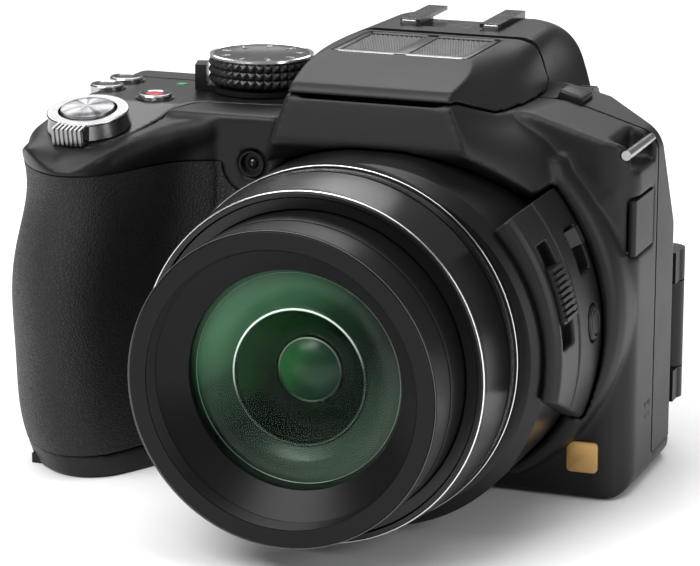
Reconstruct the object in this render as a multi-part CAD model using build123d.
from build123d import *
import math
import os

# A bridge camera with a long zoom lens, a deep hand grip and a swing-out screen.
# X runs to the camera's own left side, -Y is the way the lens looks and Z is up.
# The origin is the mouth of the tripod socket, and the lens axis lies in the plane x = 0.
# All lengths are in millimetres.

# Clearances and overruns shared by the pieces
overrun = 4.0
touch = 0.02
seat_gap = 0.05
run_gap = 0.06
part_gap = 0.3
wall = 2.0
back_wall = 3.6

# Body box
side_x = 46.9
grip_side_x = -78.3
grip_root_x = -46.0
front_y = -25.2
seam_y = -6.0
back_y = 12.0
upper_back_y = 7.5
bottom_seam_z = 5.0
deck_z = 71.0
shoulder_low_z = 69.4
shoulder_high_z = 77.0
shoulder_inner_x = 22.0
base_radius = 2.5
front_edge_radius = 3.0
back_edge_radius = 6.0
shoulder_radius = 4.5
post_radius = 7.0
post_base_radius = 4.5
recess_inner_x = 26.0
recess_outer_x = 41.4
recess_low_z = 13.0
recess_high_z = 61.5
recess_depth = 1.6
corner_point = (34.0, 7.5, 71.5)
corner_normal = (0.66, 0.66, 0.36)
screen_shelf_z = 51.0
upper_back_z = 58.0

# Lens barrel, all radii from the lens axis
axis_z = 35.4
collar_radius = 35.0
collar_front_y = -57.6
barrel_radius = 34.5
barrel_front_radius = 33.5
barrel_front_y = -73.9
trim_ring_width = 1.5
second_ring_width = 1.1
second_ring_seat = 1.1
bore_radius = 32.2
floor_thickness = 2.5
mount_hole_radius = 25.0
barrel_groove_y = -61.8
barrel_groove_width = 0.7
barrel_groove_depth = 0.6
fairing_offset_x = 4.5
fairing_front_y = -55.6
fairing_chamfer = 3.2

# Zoom stages
stage_wall = 2.0
stage_front_setback = 0.6
stage_length = 39.6
front_barrel_radius = 29.55
front_barrel_y = -89.5
front_barrel_length = 52.0
front_barrel_wall = 2.2
filter_radius = 26.0
filter_depth = 4.0
rim_length = 8.0
name_ring_thickness = 1.2
name_ring_seat_radius = 25.7
name_ring_slope = 3.4
glass_radius = 21.6
glass_edge = 2.2
glass_bulge = 3.2
glass_back_bulge = 1.4
hood_tab_height = 1.0
hood_tab_length = 2.6
hood_tab_angle = 24.0
hood_tab_setback = 3.2
hood_tab_angles = (168.0, 12.0, 282.0)

# Fixed and moving parts inside the barrel
carrier_radius = 24.6
carrier_wall = 2.0
carrier_front_y = -37.5
carrier_back_y = -12.0
carrier_flange = 1.4
carrier_flange_radius = 31.6
sensor_window = 9.0
rod_radius = 1.2
rod_circle_radius = 19.2
variator_radius = 16.6
variator_front_y = -34.0
variator_length = 5.0
variator_lug_radius = 2.9
variator_glass_radius = 13.0
iris_front_y = -20.4
iris_length = 2.6
iris_opening_radius = 7.5
rear_glass_radius = 9.0
rear_glass_y = -17.6
rear_glass_length = 2.6
sensor_width = 15.0
sensor_height = 12.0
sensor_thickness = 3.0

# Control pod on the side of the barrel
pod_radius = 42.6
pod_front_y = -57.2
pod_top_angle = 40.0
pod_bottom_angle = -24.0
pod_square_angle = -7.0
pod_chamfer = 1.2
pod_groove_y = -43.6
pod_groove_width = 0.8
pod_groove_depth = 0.6
slot_depth = 2.8
slider_slot_angles = (30.5, 3.5)
slider_angles = (24.0, 10.0)
slider_slot_y = -57.0 + 2.2
slider_slot_width = 7.2
slider_rise = 1.4
switch_slot_angles = (29.5, 17.5)
switch_angles = (28.9, 24.6)
switch_slot_y = -37.6
switch_slot_width = 6.4
switch_rise = 1.5
focus_angle = 4.0
focus_y = -34.4
focus_radius = 3.5
focus_rise = 0.4
focus_travel = 0.6
pod_room_margin = 1.0

# Fairing of the front wall round the lens, as arcs about its own centre
fairing_centre_x = 8.3
fairing_centre_z = 38.0
fairing_ys = (-20.0, -26.2, -28.8, -30.2)
fairing_radii = (38.5, 38.2, 37.4, 36.0)
fairing_top_angle = 45.0
fairing_bottom_angle = -62.0
fairing_top_xs = (34.5, 34.0, 33.0, 31.0)
fairing_top_z = 68.0
fairing_inner_x = 10.0

# Hand grip, as outlines at five heights
grip_nose_y = -51.6
grip_levels = (0.0, 5.0, 18.0, 32.0, 44.0, 54.0, 62.0, 74.0)
grip_nose_shares = (0.90, 0.945, 0.99, 1.0, 0.985, 0.955, 0.965, 0.93)
grip_side_shares = (0.96, 0.975, 0.993, 1.0, 0.988, 0.962, 0.965, 0.945)
grip_flow_x = -33.0
grip_flow_lift = 0.12
grip_side_front_share = 0.62
grip_curve_x_shares = (0.975, 0.90, 0.80, 0.725, 0.672, 0.625, 0.575, 0.51)
grip_curve_y_shares = (0.532, 0.837, 1.0, 0.908, 0.644, 0.318, 0.12, 0.03)
grip_top_radius = 6.0
grip_skin = 1.6
rubber_top_z = 61.5
rubber_back_y = seam_y
rubber_collar_gap = 1.4
rubber_lamp_radius = 6.4

# Top deck on the grip side
deck_break_y = -19.0
deck_slope_angle = 11.0
deck_thickness = 2.2
deck_front_y = -46.5
deck_front_radius = 9.0

# Viewfinder hump
hump_front_y = -45.5
hump_back_y = 23.6
hump_top_z = 85.4
hump_crown_rise = 0.7
hump_lean = 3.2
hump_front_top_z = 81.6
hump_flat_y = -25.0
logo_low_z = 70.7
hump_root_z = 56.0
hump_section_y = (-47.0, -30.0, -8.0, 24.0)
hump_half_width = 26.5
hump_heights = (56.0, 62.0, 70.0, 76.0, 80.0, 83.0, 85.0)
hump_left_shares = (
    (0.76, 0.74, 0.69, 0.626, 0.574, 0.51, 0.40),
    (0.99, 0.97, 0.90, 0.79, 0.72, 0.66, 0.56),
    (1.17, 1.14, 1.05, 0.90, 0.82, 0.755, 0.62),
    (1.0, 0.985, 0.945, 0.885, 0.82, 0.71, 0.52),
)
hump_right_shares = (
    (0.76, 0.74, 0.69, 0.626, 0.574, 0.51, 0.40),
    (1.28, 1.25, 1.13, 0.80, 0.71, 0.655, 0.56),
    (1.17, 1.15, 1.07, 0.85, 0.80, 0.755, 0.62),
    (1.0, 0.985, 0.945, 0.885, 0.82, 0.71, 0.52),
)
hump_arch_radius = 35.2
hump_arch_x = 8.3
hump_arch_z = 33.0

# Pop-up flash
flash_seam_front_z = 80.0
flash_seam_knee_y = -29.0
flash_seam_knee_z = 76.3
flash_pivot_y = 0.0
flash_pivot_z = 82.6
flash_drum_radius = 7.45
flash_drum_angle = -50.0
flash_back_top_y = -1.6
flash_groove_y = 0.4
flash_ear_radius = 1.9
flash_ear_half_width = 3.0
flash_ear_slot_half_width = 3.4
flash_pin_radius = 0.9
flash_pin_reach = 6.0
flash_pocket_half_width = 13.8
flash_pocket_front_y = -42.6
flash_pocket_floor_z = 72.4
flash_head_front_y = -39.0
flash_head_depth = 7.4
flash_head_half_width = 12.6
flash_head_low_z = 73.6
flash_window_thickness = 1.4
flash_window_margin = 1.2

# Microphone plate and accessory shoe
mic_half_width = 13.8
mic_front_y = -25.0
mic_back_y = -3.4
mic_plate_thickness = 1.4
mic_slot_width = 0.9
mic_slot_pitch = 2.1
mic_slot_length = 7.6
mic_slot_rows = 8
mic_field_x = 6.2
mic_field_front_y = -20.4
shoe_half_width = 10.4
shoe_top_z = 86.6
shoe_front_y = 5.75
shoe_back_y = 23.45
shoe_lip = 0.8
shoe_slot_height = 2.1
shoe_floor = 0.9
shoe_inner_half_width = 9.35
shoe_mouth_half_width = 6.3

# Controls on the deck
dial_x = -38.3
dial_y = 0.5
dial_radius = 10.8
dial_top_z = 78.9
dial_skirt = 0.8
dial_teeth = 36
dial_tooth_depth = 0.5
spindle_radius = 2.2
spindle_height = 4.6
power_plate = 1.0
power_radius = 10.2
power_tab_radius = 13.4
power_tab_height = 5.2
power_tab_width = 5.0
power_angle = 196.0
shutter_x = -61.6
shutter_y = -33.3
shutter_radius = 5.6
shutter_height = 3.9
shutter_travel = 1.2
shutter_stem_radius = 2.4
lever_radius = 8.3
lever_height = 3.4
lever_tab_reach = 10.4
lever_tab_width = 6.6
lever_ribs = 7
lever_rib_depth = 0.4
round_button_radius = 3.5
round_button_rise = 1.1
round_button_depth = 2.4
round_button_travel = 0.7
record_place = (-55.4, -14.9)
drive_place = (-68.0, -0.3)
function_place = (-68.5, -9.0)
lamp_place = (-56.0, 0.7)
lamp_radius = 0.8
lamp_length = 1.8
flash_button_x = 28.8
flash_button_y = -2.6
flash_button_length = 7.4
flash_button_width = 5.4
flash_button_rise = 1.3
flash_button_travel = 1.0

# Side of the body
jack_front_y = -21.6
jack_back_y = -9.4
jack_low_z = 48.6
jack_high_z = 59.4
door_thickness = 1.6
door_knuckle = 0.8
jack_hole_radius = 1.8
jack_hole_depth = 7.0
terminal_front_y = -4.4
terminal_back_y = 5.0
terminal_low_z = 15.0
terminal_high_z = 39.0
terminal_pocket = 4.0
lug_wire_radius = 0.95
lug_span = 13.0
lug_anchor = 2.5
lug_recess_depth = 3.6
left_lug_y = -15.0
left_lug_z = 68.6
left_lug_inset = 1.7
right_lug_y = -1.0
right_lug_z = 63.6
right_lug_x = -73.6
speaker_hole_radius = 0.5
speaker_pitch = 2.4
speaker_y = -10.5
speaker_z = 15.2
lamp_hole_x = -30.5
lamp_hole_z = 61.5
lamp_hole_radius = 2.6
lamp_hole_depth = 3.0
badge_x = 38.1
badge_z = 8.7
badge_size = 6.2
badge_thickness = 0.5

# Underside
socket_radius = 3.175
socket_depth = 5.5
socket_outer_radius = 6.0
socket_cap = 1.2
battery_width = 13.6
battery_depth = 34.0
battery_height = 50.0
battery_x = -63.0
battery_y = -21.0
battery_floor_z = 2.6
hatch_margin = 2.4
hatch_thickness = 2.0
screw_head_radius = 1.9
screw_head_height = 1.1
screw_shank_radius = 0.95
screw_length = 8.0
boss_radius = 2.8
boss_height = 3.7
front_screw_xs = (41.6, -20.0)
front_screw_y = -20.2
back_screw_xs = (30.0, -30.0)
back_screw_y = 7.0

# Inner parts
board_thickness = 1.6
board_left_x = 36.0
board_right_x = -44.0
board_low_z = 9.0
board_high_z = 52.0
board_y = 5.4
board_post_radius = 2.2
board_chip = 12.0
board_chip_height = 1.2
capacitor_radius = 4.2
capacitor_length = 30.0
capacitor_z = 20.0
motor_radius = 5.0
motor_length = 14.0
motor_x = 34.0
motor_z = 9.6 + 4.0

# Viewfinder
eyepiece_z = 71.5
eye_tube_half_width = 8.5
eye_tube_half_height = 6.6
eye_tube_front_y = 8.0
eye_glass_thickness = 2.4
eye_glass_setback = 1.0
evf_thickness = 2.6
eyecup_half_width = 16.0
eyecup_half_height = 11.0
eyecup_depth = 4.0
eyecup_wall = 3.0
eyecup_corner = 5.0
dioptre_radius = 3.6
dioptre_width = 3.0
dioptre_y = 15.5
dioptre_z = 70.0
dioptre_pin_radius = 1.0

# Screen
screen_left_x = 39.4
screen_right_x = -31.0
screen_low_z = 4.0
screen_high_z = 49.0
screen_back_y = 19.5
screen_thickness = 7.0
screen_corner = 3.0
screen_bezel_side = 4.2
screen_bezel_end = 3.4
screen_glass_thickness = 1.0
swing_x = 43.6
swing_radius = 3.4
swing_pin_radius = 1.2
arm_low_z = 17.4
arm_high_z = 35.0
ear_height = 6.4
twist_radius = 1.6
twist_pin_length = 4.4
twist_neck = 4.4

# Back controls
dial_wheel_radius = 7.0
dial_wheel_width = 5.0
dial_wheel_x = -58.0
dial_wheel_y = 3.4
dial_wheel_z = 60.0
dial_wheel_pin = 1.2
back_button_rise = 0.9
back_button_depth = 2.0
back_button_travel = 0.6
pad_x = -52.0
pad_z = 30.0
pad_radius = 9.6
pad_inner_radius = 4.6
pad_rise = 1.2
pad_depth = 2.2
set_radius = 4.2
lock_place = (-40.0, 60.5)
evf_place = (20.5, 62.0)
play_place = (-40.0, 50.5)
display_place = (-66.0, 46.0)
menu_place = (-40.5, 13.0)
small_button_radius = 2.9


def rounded(points, radii):
    """A closed outline through the points, with a radius at each corner, as a face."""
    return make_face(FilletPolyline(*points, radius=radii, close=True).edges())


def straight(points):
    """A closed outline of straight sides, as a face."""
    return make_face(Polyline(*points, close=True).edges())


def upright(face, low, high):
    """A plan outline (x, y) raised between two heights."""
    return extrude(Plane.XY.offset(low) * face, high - low, dir=(0, 0, 1))


def sideways(face, low, high):
    """A side outline (y, z) carried between two places along X."""
    return extrude(Plane.YZ.offset(low) * face, high - low, dir=(1, 0, 0))


def frontways(face, near, far):
    """A front outline (x, z) carried from y = near back to y = far."""
    plane = Plane(origin=(0, far, 0), x_dir=(1, 0, 0), z_dir=(0, -1, 0))
    return extrude(plane * face, far - near, dir=(0, -1, 0))


def block(low, high):
    """A box between two corners."""
    size = [b - a for a, b in zip(low, high)]
    middle = [(a + b) / 2 for a, b in zip(low, high)]
    return Pos(*middle) * Box(*size)


def cross_rod(start, radius, length, plane=Plane.XY):
    """A round rod from a point along the plane's normal."""
    placed = Plane(origin=start, x_dir=plane.x_dir, z_dir=plane.z_dir)
    return extrude(placed * Circle(radius), length)


def turned(points):
    """A profile of (radius, y) turned about the lens axis."""
    return Pos(0, 0, axis_z) * revolve(straight(points), Axis.Y)


def turned_sector(points, top_angle, bottom_angle):
    """A profile of (radius, y) turned about the lens axis between two angles above +X."""
    piece = revolve(straight(points), Axis.Y, top_angle - bottom_angle)
    return Pos(0, 0, axis_z) * Rot(0, -top_angle, 0) * piece


def about_lens(radius, angle, y):
    """A point at a radius and an angle above +X round the lens axis."""
    turn = math.radians(angle)
    return (radius * math.cos(turn), y, axis_z + radius * math.sin(turn))


def radial_plane(radius, angle, y):
    """A plane on the lens barrel whose normal points away from the lens axis."""
    turn = math.radians(angle)
    out = (math.cos(turn), 0, math.sin(turn))
    return Plane(origin=about_lens(radius, angle, y), x_dir=(0, 1, 0), z_dir=out)


def deck_plane(x, y):
    """The sloped deck round the shutter button."""
    lean = math.radians(deck_slope_angle)
    height = deck_z - (deck_break_y - y) * math.tan(lean)
    return Plane(origin=(x, y, height), x_dir=(1, 0, 0), z_dir=(0, -math.sin(lean), math.cos(lean)))


def deck_front_z(y, drop=0):
    """Height of the deck at y, less a drop."""
    return deck_z - max(0, deck_break_y - y) * math.tan(math.radians(deck_slope_angle)) - drop


def one(shape):
    """The largest solid of a shape."""
    return sorted(shape.solids(), key=lambda s: s.volume)[-1]


def all_solids(shapes):
    """Several solids that share one node."""
    return Compound(children=[one(s) for s in shapes])


def body_side_profile(drop=0):
    """Side outline of the body, with the screen's shelf and the leaning upper back."""
    points = [
        (front_y + drop, drop),
        (back_y - drop, drop),
        (back_y - drop, screen_shelf_z - drop),
        (upper_back_y - drop, upper_back_z - drop),
        (upper_back_y - drop, shoulder_high_z - drop),
        (front_y + drop, shoulder_high_z - drop),
    ]
    radii = [base_radius, base_radius, base_radius, back_edge_radius, back_edge_radius, front_edge_radius]
    return rounded(points, radii)


def body_block():
    """The body box: a plan, a side outline and a front outline, each rounded, in common."""
    plan = rounded(
        [
            (grip_root_x - back_edge_radius, front_y),
            (side_x + touch, front_y),
            (side_x + touch, back_y),
            (grip_root_x - back_edge_radius, back_y),
        ],
        [front_edge_radius, post_radius, back_edge_radius, back_edge_radius],
    )
    front = rounded(
        [
            (grip_root_x - overrun, 0),
            (side_x, 0),
            (side_x, shoulder_low_z),
            (shoulder_inner_x, shoulder_high_z),
            (0, shoulder_high_z),
            (-hump_half_width, deck_z),
            (grip_root_x - overrun, deck_z),
        ],
        [base_radius, post_base_radius, shoulder_radius, base_radius, base_radius, base_radius, base_radius],
    )
    box = upright(plan, -overrun, shoulder_high_z + overrun)
    box = box & frontways(front, front_y - overrun, back_y + overrun)
    box = box & sideways(body_side_profile(-touch), grip_root_x - back_edge_radius - overrun, side_x + overrun)
    return box - front_recess() - corner_cut()


def front_recess():
    """The shallow wedge cut into the front beside the lens, deepest at its crease."""
    wedge = straight([
        (front_y - overrun, recess_low_z), (front_y, recess_low_z), (front_y + recess_depth, recess_high_z - wall / 2),
        (front_y, recess_high_z), (front_y - overrun, recess_high_z),
    ])
    return sideways(wedge, recess_inner_x, recess_outer_x)


def corner_cut(inset=0):
    """The slanting cut over the outer back corner of the shoulder, moved inwards by an inset."""
    plane = Plane(origin=corner_point, x_dir=(1, -1, 0), z_dir=corner_normal).offset(-inset)
    return extrude(plane * Rectangle(side_x * 2, side_x * 2), side_x)


def grip_outline(nose_share, side_share, inset=0):
    """Plan outline of the grip at one height: straight at the back and side, curved round the nose."""
    side = grip_side_x * side_share
    nose = grip_nose_y * nose_share
    flow_y = front_y - grip_flow_lift
    curve = [(side, nose * grip_side_front_share)]
    for x_share, y_share in zip(grip_curve_x_shares, grip_curve_y_shares):
        curve.append((side * x_share, flow_y + (nose - flow_y) * y_share))
    curve.append((grip_flow_x, flow_y))
    curve = moved_inwards(curve, inset)
    nose_edge = Spline(*curve, tangents=((0, -1), (1, 0)))
    back = back_y - inset
    corners = [curve[-1], (grip_flow_x, back), (side + inset, back), curve[0]]
    rest = FilletPolyline(*corners, radius=[base_radius / 2, back_edge_radius])
    return make_face([nose_edge] + rest.edges())


def moved_inwards(curve, inset):
    """The points of the nose curve, each moved square to the curve by an inset."""
    moved = []
    for place, (x, y) in enumerate(curve):
        before = curve[place - 1] if place else (x, y + wall)
        after = curve[place + 1] if place + 1 < len(curve) else (x + wall, y)
        run, rise = after[0] - before[0], after[1] - before[1]
        length = math.hypot(run, rise)
        moved.append((x - inset * rise / length, y + inset * run / length))
    return moved


def grip_form(inset=0):
    """The grip, lofted through its outlines and cut to the slope of the deck with a rounded rim."""
    sections = []
    for level, nose_share, side_share in zip(grip_levels, grip_nose_shares, grip_side_shares):
        sections.append(Plane.XY.offset(level) * grip_outline(nose_share, side_share, inset))
    body = loft([s.faces()[0] for s in sections])
    lean = math.radians(deck_slope_angle)
    top = deck_z - inset
    nose_z = deck_front_z(deck_front_y, inset)
    profile = rounded(
        [
            (back_y + overrun, inset),
            (back_y + overrun, top),
            (deck_break_y, top),
            (deck_front_y - overrun * math.cos(lean), nose_z - overrun * math.sin(lean)),
            (grip_nose_y - overrun, bottom_seam_z),
            (grip_nose_y - overrun, inset),
        ],
        [0, 0, deck_front_radius, deck_front_radius, base_radius, 0],
    )
    body = body & sideways(profile, grip_side_x - overrun, grip_flow_x + overrun)
    return body & grip_rim(top, inset)


def grip_rim(top, inset):
    """The space under the deck's level and sloping parts, with the outer rim rounded."""
    rim_x = grip_side_x * grip_side_shares[-1] + inset
    face = rounded([(rim_x, inset - overrun), (0, inset - overrun), (0, top), (rim_x, top)],
                   [base_radius, base_radius, base_radius, grip_top_radius])
    wide = rounded([(grip_side_x - overrun, inset - overrun), (0, inset - overrun),
                    (0, top - grip_top_radius), (grip_side_x - overrun, top - grip_top_radius)], [base_radius] * 4)
    lean = math.radians(deck_slope_angle)
    plane = Plane(origin=(0, deck_break_y, 0), x_dir=(1, 0, 0), z_dir=(0, -1, 0))
    ahead = (0, -math.cos(lean), -math.sin(lean))
    reach = back_y + overrun - deck_break_y
    run = (deck_break_y - grip_nose_y + overrun) / math.cos(lean)
    space = None
    for outline in (face, wide):
        level = extrude(plane * outline, reach, dir=(0, 1, 0))
        slope = extrude(plane * outline, run, dir=ahead)
        both = level + slope
        space = both if space is None else space + both
    return space


def hump_section(y, left_shares, right_shares):
    """Front outline of the hump at one place along Y, as a face: a curve over the crown and a straight root."""
    left = [(-hump_half_width * share, height) for share, height in zip(left_shares, hump_heights)]
    right = [(hump_half_width * share, height) for share, height in zip(right_shares, hump_heights)][::-1]
    crown_curve = Spline(*left, (0, hump_top_z + hump_crown_rise), *right)
    face = make_face([crown_curve, Line(right[-1], left[0])])
    plane = Plane(origin=(0, y, 0), x_dir=(1, 0, 0), z_dir=(0, -1, 0))
    return (plane * face).faces()[0]


def hump_form():
    """The viewfinder hump, lofted front to back and cut to its leaning front and the arch under it."""
    body = loft([hump_section(*row) for row in zip(hump_section_y, hump_left_shares, hump_right_shares)])
    profile = rounded(
        [
            (hump_front_y, logo_low_z),
            (hump_front_y + hump_lean, hump_front_top_z),
            (hump_flat_y, hump_top_z),
            (hump_back_y, hump_top_z),
            (hump_back_y, hump_root_z),
            (front_y, hump_root_z),
            (front_y - overrun, hump_root_z),
        ],
        [base_radius / 4, base_radius, base_radius, base_radius, base_radius, 0, base_radius],
    )
    body = body & sideways(profile, -side_x, side_x)
    arch = Pos(hump_arch_x, hump_arch_z) * Circle(hump_arch_radius)
    arch = arch + Pos(-hump_arch_x, hump_arch_z) * Circle(hump_arch_radius)
    return body - frontways(arch, hump_front_y - overrun, fairing_ys[-1])


def collar_clearance(gap):
    """The room round the lens collar and its fairing, from its front to the body."""
    near, far = barrel_front_y - overrun, front_y
    round_room = frontways(Pos(0, axis_z) * Circle(collar_radius + gap), near, far)
    side_room = frontways(Pos(fairing_offset_x, axis_z) * Circle(collar_radius + gap), near, far)
    return round_room + side_room


def fairing_outline(y, radius, top_x):
    """Front outline of the fairing at one place along Y: an arc round the lens that runs straight up at its top."""
    ends = []
    for angle in (fairing_bottom_angle, 0, fairing_top_angle):
        turn = math.radians(angle)
        ends.append((fairing_centre_x + radius * math.cos(turn), fairing_centre_z + radius * math.sin(turn)))
    low, middle, high = ends
    rest = Polyline(high, (top_x, fairing_top_z), (fairing_inner_x, fairing_top_z), (fairing_inner_x, low[1]), low)
    face = make_face([ThreePointArc(low, middle, high)] + rest.edges())
    plane = Plane(origin=(0, y, 0), x_dir=(1, 0, 0), z_dir=(0, -1, 0))
    return (plane * face).faces()[0]


def fairing():
    """The swelling of the front wall that runs down from the hump and round the lens."""
    rows = zip(fairing_ys, fairing_radii, fairing_top_xs)
    body = loft([fairing_outline(*row) for row in rows], ruled=True)
    keep = block((0, fairing_ys[-1] - overrun, 0), (side_x, fairing_ys[0], hump_top_z))
    return body & keep


def pod_room():
    """The room in the front wall for the control pod."""
    inner, outer = collar_radius - overrun, pod_radius + part_gap
    near, far = hump_front_y, front_y
    room = [(inner, near), (outer, near), (outer, far), (inner, far)]
    return turned_sector(room, pod_top_angle + pod_room_margin, pod_bottom_angle - pod_room_margin)


def outer_form():
    """The whole outside of the camera body, before it is split into its shells."""
    form = body_block() + grip_form() + hump_form() + fairing()
    dial_space = cross_rod((dial_x, dial_y, deck_z), dial_radius + part_gap * 2, hump_top_z)
    return form - collar_clearance(part_gap) - pod_room() - dial_space


def deck_outline(inset=0):
    """Plan outline of the top deck."""
    reach = lever_radius + wall
    left = grip_side_x + wall * 2
    points = [
        (left, upper_back_y - wall),
        (left, shutter_y),
        (shutter_x - reach / 2, shutter_y - reach),
        (shutter_x + reach / 2, shutter_y - reach),
        (shutter_x + reach, shutter_y),
        (grip_root_x, dial_y - dial_radius - wall * 2),
        (-hump_half_width - wall, dial_y - dial_radius - wall),
        (-hump_half_width - wall, upper_back_y - wall),
    ]
    return rounded(points, [wall, reach / 2, reach / 3, reach / 3, reach / 3, reach / 2, wall, wall])


def deck_band():
    """The slab of space that the top deck fills."""
    top = deck_z + overrun
    profile = straight(
        [
            (back_y, deck_z - deck_thickness), (back_y, top), (grip_nose_y, top),
            (grip_nose_y, deck_front_z(grip_nose_y, deck_thickness)),
            (deck_break_y, deck_z - deck_thickness),
        ]
    )
    slab = sideways(profile, grip_side_x, -shoulder_inner_x)
    return slab & upright(deck_outline(), shutter_radius, deck_z + overrun)


def flash_region(gap=0):
    """The part of the hump that lifts with the flash, grown by a gap. Its back is a drum about the hinge."""
    drum = flash_drum_radius + gap
    turn = math.radians(flash_drum_angle)
    low = (flash_pivot_y, flash_pivot_z - drum)
    bend = (flash_pivot_y + drum * math.sin(-turn / 2), flash_pivot_z - drum * math.cos(-turn / 2))
    high = (flash_pivot_y + drum * math.cos(turn), flash_pivot_z + drum * math.sin(turn))
    back = flash_groove_y if gap else flash_back_top_y
    front = hump_front_y - overrun
    lines = Polyline(high, (flash_pivot_y + touch + gap * 2, flash_pivot_z - touch), (back, hump_top_z),
                     (back, hump_top_z + overrun), (front, hump_top_z + overrun), (front, flash_seam_front_z - gap),
                     (hump_front_y + hump_lean + wall, flash_seam_front_z - gap),
                     (flash_seam_knee_y, flash_seam_knee_z - gap), low)
    face = make_face([ThreePointArc(low, bend, high)] + lines.edges())
    return sideways(face, -side_x, side_x)


def flash_ear(gap=0):
    """The fixed ear in the middle of the hump that carries the hinge pin of the flash."""
    half = flash_ear_slot_half_width if gap else flash_ear_half_width
    radius = flash_ear_radius + gap
    start = (-half, flash_pivot_y, flash_pivot_z)
    post_back = flash_pivot_y + (flash_drum_radius + overrun if gap else radius)
    low = flash_pivot_z - flash_drum_radius - wall
    post = block((-half, flash_pivot_y - radius, low), (half, post_back, flash_pivot_z))
    return cross_rod(start, radius, 2 * half, Plane.YZ) + post


def flash_hinge():
    """The ear with its cross pin, part of the back of the hump."""
    start = (-flash_pin_reach, flash_pivot_y, flash_pivot_z)
    return one(flash_ear() + cross_rod(start, flash_pin_radius, 2 * flash_pin_reach, Plane.YZ))


def flash_cover_and_head(hump):
    """The lifting top of the hump, with the lamp house under its front bar and the hinge slot at its back."""
    cover = hump & flash_region()
    house = block(
        (-flash_head_half_width, flash_head_front_y, flash_head_low_z),
        (flash_head_half_width, flash_head_front_y + flash_head_depth, flash_seam_front_z + wall),
    )
    window_room = block(
        (-flash_head_half_width + flash_window_margin, flash_head_front_y - overrun,
         flash_head_low_z + flash_window_margin),
        (flash_head_half_width - flash_window_margin, flash_head_front_y + flash_window_thickness,
         flash_seam_front_z - wall),
    )
    cover = cover + house - (window_room & house)
    reach = flash_pin_reach + part_gap
    bore = cross_rod((-reach, flash_pivot_y, flash_pivot_z), flash_pin_radius + run_gap, 2 * reach, Plane.YZ)
    return one(cover - flash_ear(part_gap) - bore - mic_room(touch))


def flash_window():
    """The clear window over the flash tube."""
    return block(
        (-flash_head_half_width + flash_window_margin, flash_head_front_y,
         flash_head_low_z + flash_window_margin),
        (flash_head_half_width - flash_window_margin, flash_head_front_y + flash_window_thickness,
         flash_seam_front_z - wall),
    )


def flash_pocket():
    """The well in the hump for the lamp house."""
    return block(
        (-flash_pocket_half_width, flash_pocket_front_y, flash_pocket_floor_z),
        (flash_pocket_half_width, flash_head_front_y + flash_head_depth + wall, hump_top_z + overrun),
    )





def shoe_room():
    """The recess in the hump that takes the accessory shoe."""
    low = shoe_top_z - shoe_lip - shoe_slot_height - shoe_floor
    half = shoe_half_width + seat_gap
    return block((-half, shoe_front_y - seat_gap, low), (half, hump_back_y + overrun, shoe_top_z))


def hot_shoe():
    """The accessory shoe: a floor with two lipped rails, bent from one strip."""
    low = shoe_top_z - shoe_lip - shoe_slot_height - shoe_floor
    floor = low + shoe_floor
    lip = shoe_top_z - shoe_lip
    points = [
        (-shoe_half_width, low), (shoe_half_width, low), (shoe_half_width, shoe_top_z),
        (shoe_mouth_half_width, shoe_top_z), (shoe_mouth_half_width, lip),
        (shoe_inner_half_width, lip), (shoe_inner_half_width, floor),
        (-shoe_inner_half_width, floor), (-shoe_inner_half_width, lip),
        (-shoe_mouth_half_width, lip), (-shoe_mouth_half_width, shoe_top_z),
        (-shoe_half_width, shoe_top_z),
    ]
    return frontways(straight(points), shoe_front_y, shoe_back_y)


def mic_room(gap=0):
    """The recess on the flash cover for the microphone plate."""
    half = mic_half_width + gap
    return block((-half, mic_front_y - gap, hump_top_z - mic_plate_thickness),
                 (half, mic_back_y + gap, hump_top_z + wall))


def mic_grille():
    """The slotted plate over the two microphones."""
    plate = block((-mic_half_width, mic_front_y, hump_top_z - mic_plate_thickness),
                  (mic_half_width, mic_back_y, hump_top_z))
    for side in (-1, 1):
        for row in range(mic_slot_rows):
            centre = (side * mic_field_x, mic_field_front_y + row * mic_slot_pitch, hump_top_z)
            plate = plate - Pos(*centre) * Box(mic_slot_length, mic_slot_width, mic_plate_thickness)
    return one(plate)


def eye_tube():
    """The light path of the viewfinder, open at the back of the hump."""
    return block(
        (-eye_tube_half_width, eye_tube_front_y, eyepiece_z - eye_tube_half_height),
        (eye_tube_half_width, hump_back_y + overrun, eyepiece_z + eye_tube_half_height),
    )


def evf_display():
    """The little display at the end of the viewfinder."""
    return block(
        (-eye_tube_half_width + seat_gap, eye_tube_front_y, eyepiece_z - eye_tube_half_height + seat_gap),
        (eye_tube_half_width - seat_gap, eye_tube_front_y + evf_thickness,
         eyepiece_z + eye_tube_half_height - seat_gap),
    )


def eyepiece_lens():
    """The eyepiece glass, crowned towards the eye."""
    back = hump_back_y - eye_glass_setback
    half_width = eye_tube_half_width - seat_gap
    half_height = eye_tube_half_height - seat_gap
    plate = block((-half_width, back - eye_glass_thickness, eyepiece_z - half_height),
                  (half_width, back, eyepiece_z + half_height))
    return plate


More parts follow.
